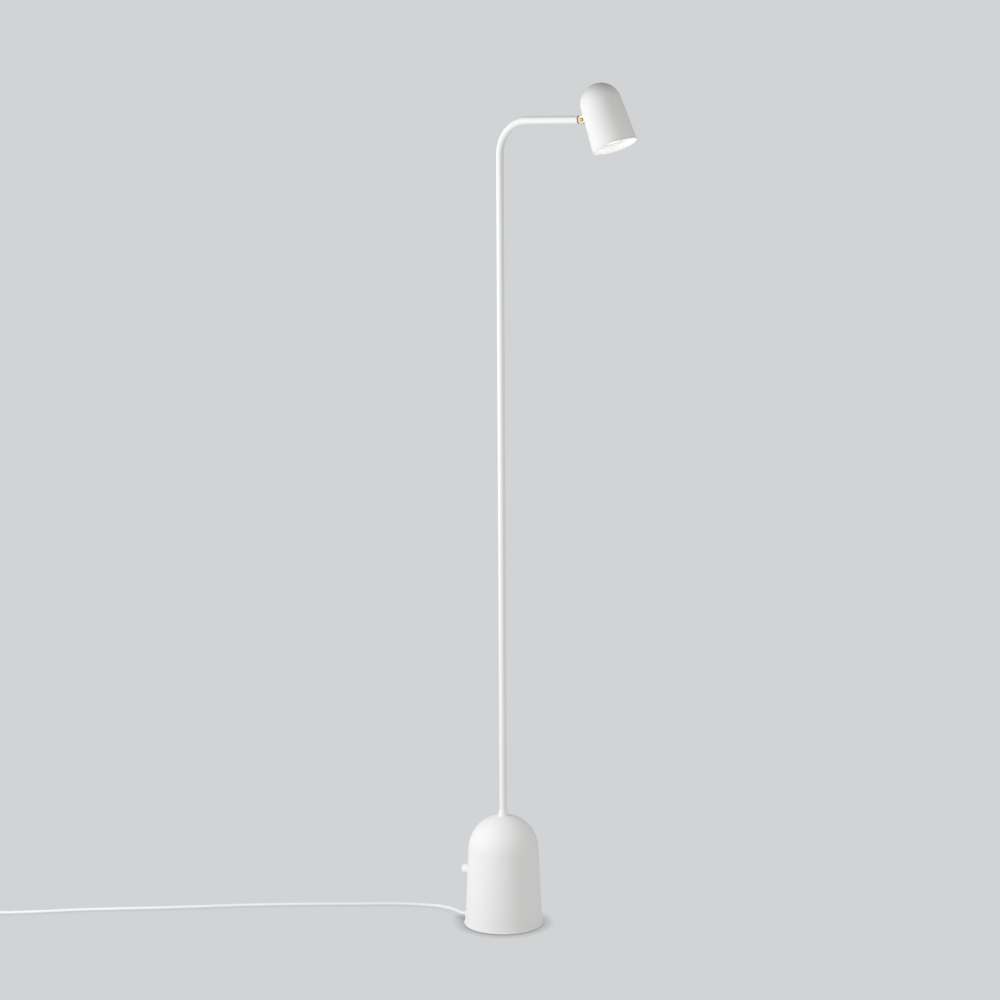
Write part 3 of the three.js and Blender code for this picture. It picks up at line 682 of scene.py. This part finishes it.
def make_foot():
    """Foam pad, steel plate and the three screws that hold the plate, seen from underneath."""
    radius, edge = pad_high.x, 0.5 * mm
    corners = [(0, pad_low.z), (radius, pad_low.z, edge), (radius, pad_high.z, edge), (0, pad_high.z)]
    pad = solid("sole", lathe(fillet(corners), 144))
    access = [rod(screw_head + 0.6 * mm, -mm, pad_high.z + mm, at) for at in screw_places]
    piece(combine(pad, "DIFFERENCE", *access), "black_foam", "base", "foot_pad")
    radius, edge = plate_high.x, 0.25 * mm
    low, high = plate_low.z, plate_high.z
    corners = [(0, low), (radius, low, edge), (radius, high, edge), (0, high)]
    plate = solid("bottom_plate", lathe(fillet(corners), 144))
    mouth, shank = screw_head + gap, screw_head / 2 + gap
    sink = lathe([(0, low - mm), (mouth, low - mm), (mouth, low),
                  (shank, high), (shank, high + mm), (0, high + mm)])
    sinks = [solid("sink", sink, Matrix.Translation((x, y, 0))) for x, y, _ in screw_places]
    piece(combine(plate, "DIFFERENCE", *sinks), "zinc_steel", "base", "base_plate")
    for i, (x, y, _) in enumerate(screw_places):
        make_plate_screw(i, Matrix.Translation((x, y, 0)))


def make_plate_screw(i, matrix):
    low, tip = screw_boxes[i][0].z, screw_boxes[i][1].z
    shank = screw_head / 2
    neck = low + 1.4 * mm
    pitch = 0.8 * mm
    corners = [(0, low + 0.05 * mm), (screw_head - 0.3 * mm, low + 0.05 * mm),
               (screw_head, low + 0.3 * mm, 0.1 * mm), (shank, neck)]
    for k in range(round((tip - neck) / pitch) - 2):
        height = neck + pitch * (k + 1)
        corners += [(shank, height), (shank - 0.3 * mm, height + pitch / 2)]
    corners += [(shank - 0.4 * mm, tip - 0.6 * mm), (0, tip)]
    screw = solid(f"sole_screw_{i + 1}", lathe(fillet(corners), 48), matrix)
    wings = []
    half = 0.45 * mm
    corners = ((-1, -half), (1, -half), (1, half), (-1, half))
    for turn in (0, math.pi / 2):
        taper = []
        for reach, height in ((2.3 * mm, low - mm), (1.1 * mm, low + 1.5 * mm)):
            taper.append([(x * reach, y, height) for x, y in corners])
        wings.append(solid("wing", loft(taper), matrix @ Matrix.Rotation(turn + i, 4, "Z")))
    piece(combine(screw, "DIFFERENCE", *wings), "zinc_steel", "base", f"plate_screw_{i + 1}")


# ---------- pole ----------

def pole_path(low, high_x, bend_steps=48):
    """Points of the tube's centre line, up, round the bend and along the arm."""
    arm_height = arm_end.z
    rise = arm_height - bend_radius
    points = [Vector((0, 0, low + (rise - low) * i / 40)) for i in range(40)]
    for i in range(bend_steps + 1):
        angle = math.pi / 2 * i / bend_steps
        points.append(Vector((bend_radius * (1 - math.cos(angle)), 0, rise + bend_radius * math.sin(angle))))
    for i in range(1, 7):
        points.append(Vector((bend_radius + (high_x - bend_radius) * i / 6, 0, arm_height)))
    return points


def make_pole(around=56):
    """The bent tube: its outside, its cut ends and its bore."""
    path = pole_path(pole_foot, arm_end.x)
    frames = transported(path)
    edge = 0.25 * mm
    start, end = path[0], path[-1]
    up, along = Vector((0, 0, edge)), Vector((edge, 0, 0))
    walls = [(start, frames[0], pole_radius - edge), (start + up, frames[0], pole_radius)]
    walls += [(point, sides, pole_radius) for point, sides in zip(path[1:-1], frames[1:-1])]
    walls += [(end - along, frames[-1], pole_radius), (end, frames[-1], pole_radius - edge),
              (end, frames[-1], pole_bore)]
    walls += [(point, sides, pole_bore) for point, sides in zip(path[-2:0:-1], frames[-2:0:-1])]
    walls.append((start, frames[0], pole_bore))
    sections = []
    for centre, (side, other), radius in walls:
        angles = [2 * math.pi * i / around for i in range(around)]
        sections.append([centre + (side * math.cos(a) + other * math.sin(a)) * radius for a in angles])
    return piece(solid("pole", loft(sections, ring_closed=True)), "white_powder_coat", "base", "pole_tube")


# ---------- dimmer ----------

def hex_nut(name, across, low, high, hole, matrix):
    """A six-sided nut with its corners turned off, drilled through."""
    corner = across / math.sqrt(3)
    blank = solid(name, lathe([(0, low), (corner, low), (corner, high), (0, high)], 6), matrix)
    cone = 0.09 * across
    turning = lathe([(0, low), (across / 2, low), (corner + cone, low + cone), (corner + cone, high - cone),
                     (across / 2, high), (0, high)], 72)
    combine(blank, "INTERSECT", solid("turning", turning, matrix))
    way = [(0, low - mm), (hole, low - mm), (hole, high + mm), (0, high + mm)]
    drill = solid("drill", lathe(way, 48), matrix)
    return combine(blank, "DIFFERENCE", drill)


def make_dimmer():
    radius, low, high = 7.2 * mm, 1.7 * mm, 17.5 * mm
    rim, pocket = 5.2 * mm, 5.4 * mm  # the hollow that clears the bush's nut
    crest = high + 0.05 * mm
    corners = [(0, pocket), (rim, pocket, 0.3 * mm), (rim, low), (radius, low, 0.3 * mm),
               (radius, high, 1.2 * mm), (radius * 0.6, crest, 6 * mm), (0, crest)]
    knob = solid("knob", lathe(fillet(corners, 6), 120), dimmer_frame)
    mark_inner, mark_outer, mark_half, mark_end = 3.4 * mm, 5.8 * mm, 0.4 * mm, 0.39 * mm
    mark = fillet([(mark_inner, -mark_half, mark_end), (mark_outer, -mark_half, mark_end),
                   (mark_outer, mark_half, mark_end), (mark_inner, mark_half, mark_end)], 6)
    groove = solid("groove", prism(mark, high - 0.35 * mm, high + mm), dimmer_frame)
    piece(combine(knob, "DIFFERENCE", groove), "white_powder_coat", "knob", "dimmer_knob")
    bush = 3.5 * mm
    under, over, washer_radius, edge = 0.05 * mm, 0.8 * mm, 5 * mm, 0.2 * mm
    washer = [(bush, under), (washer_radius, under, edge), (washer_radius, over, edge), (bush, over),
              (bush, under)]
    turned("bush_washer", washer, "zinc_steel", "base", "dimmer_washer", matrix=dimmer_frame)
    nut = hex_nut("bush_nut", 8.2 * mm, 1.1 * mm, 3.1 * mm, bush, dimmer_frame)
    piece(nut, "zinc_steel", "base", "dimmer_nut")


# ---------- knuckle ----------

cheek_radius = 5.6 * mm
tongue_radius = 4.6 * mm
pin_radius = 1.55 * mm
cheek_inner, cheek_outer = 2.3 * mm, 4.8 * mm
shell_reach = head_reach - head_bell["radius"]  # from the pivot to the head's surface


def disc_and_bar(radius, reach, half_height):
    """Distance to the edge, by direction, of a disc with a bar towards +X, and the directions to use."""
    def outline(angle):
        c, s = math.cos(angle), math.sin(angle)
        if c <= 0:
            return radius
        return max(radius, min(reach / c, half_height / max(abs(s), 1e-9)))
    corner = math.atan2(half_height, reach)
    fine = [2 * math.pi * i / 120 - math.pi for i in range(120)]
    kept = [a for a in fine if abs(abs(a) - corner) > 0.03]
    return outline, sorted(kept + [corner, -corner])


def make_arm_knuckle():
    """Brass plug in the arm's end: spigot, flange and a tongue that the head's fork straddles."""
    arm_face = arm_end.x - pivot.x
    low = arm_face + 0.1 * mm
    high = arm_face + 1.6 * mm
    spigot, spigot_end = 3.85 * mm, arm_face - 11 * mm
    flange = 5.3 * mm
    corners = [(0, spigot_end), (spigot, spigot_end, 0.3 * mm), (spigot, low),
               (flange - 0.2 * mm, low, 0.1 * mm), (flange, low + 0.4 * mm, 0.2 * mm),
               (flange, high - 0.3 * mm, 0.2 * mm), (flange - 0.4 * mm, high, 0.2 * mm), (0, high)]
    plug = solid("arm_joint", lathe(fillet(corners), 96), Matrix.Translation(pivot) @ along_x)
    outline, turns = disc_and_bar(tongue_radius, -low - 0.5 * mm, 4.2 * mm)
    tongue_frame = (Matrix.Translation(pivot) @ Matrix.Rotation(math.pi, 4, "Z")
                    @ Matrix.Rotation(math.pi / 2, 4, "X"))
    half = 2 * mm
    tongue = solid("tongue", eye_plate(outline, pin_radius, -half, half, turns), tongue_frame)
    combine(plug, "UNION", bevel(tongue, 0.3 * mm))
    return piece(plug, "brass", "knuckle", "arm_knuckle")


def make_fork():
    """Brass fork: two cheeks on a round seat against the head, and the threaded stud through the wall."""
    seat, seat_end, seat_radius = 5.1 * mm, 5.6 * mm, 5.2 * mm
    neck, neck_end = 3.2 * mm, shell_reach + 0.1 * mm  # thinner, so a dark gap shows beside the head
    thread, tip = shell_reach + 0.5 * mm, 15.7 * mm
    stud, root, pitch, turns_of_thread = 3.9 * mm, 3.5 * mm, 0.75 * mm, 11
    outline, turns = disc_and_bar(cheek_radius, seat + 0.4 * mm, 4.8 * mm)
    cheek_frame = head_frame @ Matrix.Rotation(math.pi / 2, 4, "X")
    corners = [(0, seat), (seat_radius, seat, 0.2 * mm), (seat_radius, seat_end, 0.15 * mm),
               (neck, seat_end), (neck, neck_end), (stud, neck_end)]
    for k in range(turns_of_thread):
        corners += [(stud, thread + pitch * k), (root, thread + pitch * (k + 0.5))]
    corners += [(root - 0.1 * mm, tip, 0.3 * mm), (0, tip)]
    fork = solid("head_fork", lathe(fillet(corners), 96), head_frame @ along_x)
    for side in (-1, 1):
        low, high = sorted((side * cheek_inner, side * cheek_outer))
        cheek = solid("cheek", eye_plate(outline, pin_radius, low, high, turns), cheek_frame)
        combine(fork, "UNION", bevel(cheek, 0.4 * mm))
    return piece(fork, "brass", "head", "tilt_fork")


def make_pivot_screw():
    seat, top = cheek_outer + 0.05 * mm, cheek_outer + 1.6 * mm
    head, shank, tip = 2.7 * mm, pin_radius - 0.05 * mm, -8.4 * mm
    corners = [(0, top), (1.7 * mm, top, 3 * mm), (head, top - 0.6 * mm, 0.4 * mm),
               (head, seat, 0.15 * mm), (shank, seat), (shank, tip, 0.3 * mm), (0, tip)]
    outwards = head_frame @ Matrix.Rotation(math.pi / 2, 4, "X")  # local +Z faces -Y
    screw = solid("pivot_screw", lathe(fillet(corners), 72), outwards)
    reach, half = 4 * mm, 0.35 * mm
    slot = [(-reach, -half), (reach, -half), (reach, half), (-reach, half)]
    across = outwards @ Matrix.Rotation(35 * degree, 4, "Z")
    cutter = solid("slot", prism(slot, top - 0.6 * mm, top + mm), across)
    piece(combine(screw, "DIFFERENCE", cutter), "brass", "head", "tilt_screw")
    low, radius, edge = cheek_outer + 0.05 * mm, 3.4 * mm, 0.15 * mm
    high = low + 0.8 * mm
    washer = [(pin_radius, low), (radius, low, edge), (radius, high, edge), (pin_radius, high),
              (pin_radius, low)]
    matrix = head_frame @ along_y
    turned("pivot_washer", washer, "brass", "head", "tilt_washer", matrix=matrix)
    nut = hex_nut("pivot_nut", 5.5 * mm, high + 0.05 * mm, high + 2.55 * mm, pin_radius, matrix)
    piece(nut, "brass", "head", "tilt_nut")


# ---------- head ----------

def make_head_shell():
    return piece(solid("bell_head", bell_shape(head_bell, 0, 144), bell_frame),
                 "white_powder_coat", "head", "head_shell")


def make_lamp():
    """Reflector lamp: glass body, front bezel and a ringed diffuser."""
    face, back = -50, 4  # in mm, like every number of both profiles
    bezel, bezel_inner, recess = 24.6, 22.4, 2.6
    corners = [(0, back), (13, back, 0.6), (14, back - 2, 0.5), (14.4, -8, 1), (17.2, -16, 4), (23.4, -33, 4),
               (bezel, -37, 1.5), (bezel, face + 0.5, 0.3), (bezel - 0.4, face, 0.3),
               (bezel_inner, face, 0.3), (bezel_inner - 0.1, face + recess), (0, face + recess)]
    corners = [tuple(value * mm for value in corner) for corner in corners]
    body = turned("reflector_lamp", corners, "white_plastic", "head", "lamp_body", matrix=bell_frame)
    body.data.materials[0] = lamp_glass
    rings, ringed, radius, crest = 13, 21.2, 22, 0.9
    pitch = ringed / rings
    lens = [(0, face + 2.4), (radius, face + 2.4), (radius, face + 0.9, 0.2), (21.4, face + 0.5, 0.2)]
    for k in range(rings):
        outer = ringed - pitch * k
        dome = crest * (1 - (outer / radius) ** 2)
        lens += [(outer, face + 0.55 - dome), (max(outer - 0.25 * pitch, 0.12), face + 0.2 - dome)]
    lens.append((0, face - 0.72))
    corners = [tuple(value * mm for value in corner) for corner in lens]
    turned("diffuser", corners, "lamp_lens", "head", "lamp_lens", matrix=bell_frame)


# ---------- CAD nodes that stay ----------

carried_finishes = {
    "base_weight": "cast_iron",
    "pole_washer": "zinc_steel", "pole_nut": "zinc_steel", "terminal_screw": "zinc_steel",
    "fork_washer": "zinc_steel", "fork_nut": "zinc_steel", "lamp_bracket": "zinc_steel",
    "bracket_screw_1": "zinc_steel", "bracket_screw_2": "zinc_steel",
    "terminal_block": "white_plastic", "inner_lead": "white_cable", "dimmer_lead": "white_cable",
    "pole_flex": "white_cable",
    "dimmer_case": "dark_plastic", "dimmer_rotor": "dark_plastic",
    "dimmer_shaft": "zinc_steel", "lamp_pin_1": "zinc_steel", "lamp_pin_2": "zinc_steel",
    "lamp_holder": "ceramic",
}


def dress_carried_nodes():
    for name, slot in carried_finishes.items():
        for material_slot in frame["nodes"][name].material_slots:
            material_slot.material = finishes[slot]


make_base_shell()
make_collar()
make_foot()
make_pole()
make_dimmer()
make_arm_knuckle()
make_fork()
make_pivot_screw()
make_head_shell()
make_lamp()
dress_carried_nodes()


# ---------- floor and light ----------

backdrop = (0.638, 0.651, 0.665)  # pale cool grey


def scaled_sum(tree, first, second, factor):
    """The vector first + second * factor."""
    scaled = node(tree, "VectorMath", {0: second, "Scale": factor}, operation="SCALE").outputs["Vector"]
    return node(tree, "VectorMath", {0: first, 1: scaled}, operation="ADD").outputs["Vector"]


def direction(azimuth, elevation):
    """Unit vector. Azimuth 0 is along +X and 90 along +Y."""
    a, e = azimuth * degree, elevation * degree
    return (math.cos(a) * math.cos(e), math.sin(a) * math.cos(e), math.sin(e))


def make_world():
    """The plain backdrop behind the object, and the studio's pale walls and ceiling that light it."""
    walls = (0.66, 0.65, 0.63)
    ceiling = (0.12, 0.135, 0.165)  # what the ceiling adds to the walls' light
    dark_corner = direction(115, 35)
    outer, inner = 50 * degree, 12 * degree  # half angles over which the corner grows dark
    darkness = (-0.45, -0.45, -0.45)
    world = bpy.data.worlds.new("studio")
    world.use_nodes = True
    bpy.context.scene.world = world
    tree = world.node_tree
    tree.nodes.clear()
    towards = node(tree, "TexCoord").outputs["Generated"]
    light = node(tree, "CombineXYZ", dict(zip("XYZ", walls))).outputs["Vector"]
    facing = node(tree, "VectorMath", {0: towards, 1: dark_corner}, operation="DOT_PRODUCT").outputs["Value"]
    share = node(tree, "MapRange", {
        "Value": facing, "From Min": math.cos(outer), "From Max": math.cos(inner),
    }, interpolation_type="SMOOTHSTEP").outputs["Result"]
    light = scaled_sum(tree, light, darkness, share)
    height = node(tree, "SeparateXYZ", {"Vector": towards}).outputs["Z"]
    overhead = node(tree, "MapRange", {
        "Value": height, "From Min": 0.5, "From Max": 0.85,
    }, interpolation_type="SMOOTHSTEP").outputs["Result"]
    light = scaled_sum(tree, light, ceiling, overhead)
    lit = node(tree, "Background", {"Color": light})
    seen = node(tree, "Background", {"Color": (*backdrop, 1)})
    ray = node(tree, "LightPath").outputs["Is Camera Ray"]
    mixed = node(tree, "MixShader", {"Fac": ray})
    tree.links.new(lit.outputs[0], mixed.inputs[1])
    tree.links.new(seen.outputs[0], mixed.inputs[2])
    tree.links.new(mixed.outputs[0], node(tree, "OutputWorld").inputs["Surface"])


def make_key_light():
    """A soft box to the left of the camera, level with the upper half of the pole."""
    distance, height = 1.3, 0.9
    data = bpy.data.lights.new("soft_box", "AREA")
    data.shape = "RECTANGLE"
    data.size = 0.55
    data.size_y = 1.3
    data.energy = 12
    data.color = (0.96, 0.98, 1)
    lamp = bpy.data.objects.new("soft_box", data)
    bpy.context.scene.collection.objects.link(lamp)
    place = Vector(direction(241, 0)) * distance
    lamp.location = (place.x, place.y, height)
    lamp.rotation_euler = (-place).to_track_quat("-Z", "Y").to_euler()
    lamp.visible_camera = False


def make_flag():
    """A dark card over the arm and the head, which keeps the light from above off their tops."""
    half_length, half_width, height = 0.15, 0.12, 1.31
    quarters = ((-1, -1), (1, -1), (1, 1), (-1, 1))
    corners = [(pivot.x + i * half_length, j * half_width, height) for i, j in quarters]
    mesh = bpy.data.meshes.new("flag")
    mesh.from_pydata(corners, [], [range(4)])
    mesh.materials.append(finishes["black_foam"])
    flag = bpy.data.objects.new("flag", mesh)
    bpy.context.scene.collection.objects.link(flag)
    flag.visible_camera = False


def make_floor():
    """A wide pale floor in the backdrop's colour, whose glow carries a painted contact shadow: ambient
    occlusion dims it, deeply near the base and faintly along the lead.
    """
    radius = 70
    shadow_reach = 22 * mm
    darkest, faint = 0.15, 0.88
    material = bpy.data.materials.new("floor")
    material.use_nodes = True
    material.cycles.emission_sampling = "NONE"
    tree = material.node_tree
    tree.nodes.clear()
    # painted contact shadow: ambient occlusion within shadow_reach darkens the floor's glow
    openness = node(tree, "AmbientOcclusion", {"Distance": shadow_reach}, samples=16).outputs["AO"]
    place = node(tree, "TexCoord").outputs["Object"]
    away = node(tree, "VectorMath", {0: place}, operation="LENGTH").outputs["Value"]
    # depth of the painted shadow: down to darkest near the base, only to faint farther out, along the lead
    shadow = node(tree, "MapRange", {
        "Value": away, "From Min": 64 * mm, "From Max": 84 * mm, "To Min": darkest, "To Max": faint,
    }, interpolation_type="SMOOTHSTEP").outputs["Result"]
    # the glow's strength, lowered by the painted shadow where occlusion is found
    painted_shade_level = node(tree, "MapRange", {"Value": openness, "To Min": shadow}).outputs["Result"]
    glow = node(tree, "Emission", {"Color": (*backdrop, 1), "Strength": painted_shade_level})
    below = node(tree, "NewGeometry").outputs["Backfacing"]
    one_way = node(tree, "MixShader", {"Fac": below})
    tree.links.new(glow.outputs[0], one_way.inputs[1])
    tree.links.new(node(tree, "BsdfTransparent").outputs[0], one_way.inputs[2])
    tree.links.new(one_way.outputs[0], node(tree, "OutputMaterial").inputs["Surface"])
    mesh = bpy.data.meshes.new("floor")
    rim = [level(2 * math.pi * i / 96, radius) - Vector((0, 0, 0.1 * mm)) for i in range(96)]
    mesh.from_pydata(rim, [], [range(96)])
    mesh.materials.append(material)
    floor = bpy.data.objects.new("floor", mesh)
    bpy.context.scene.collection.objects.link(floor)


make_world()
make_key_light()
make_flag()
make_floor()
bpy.context.scene.view_settings.view_transform = "Standard"
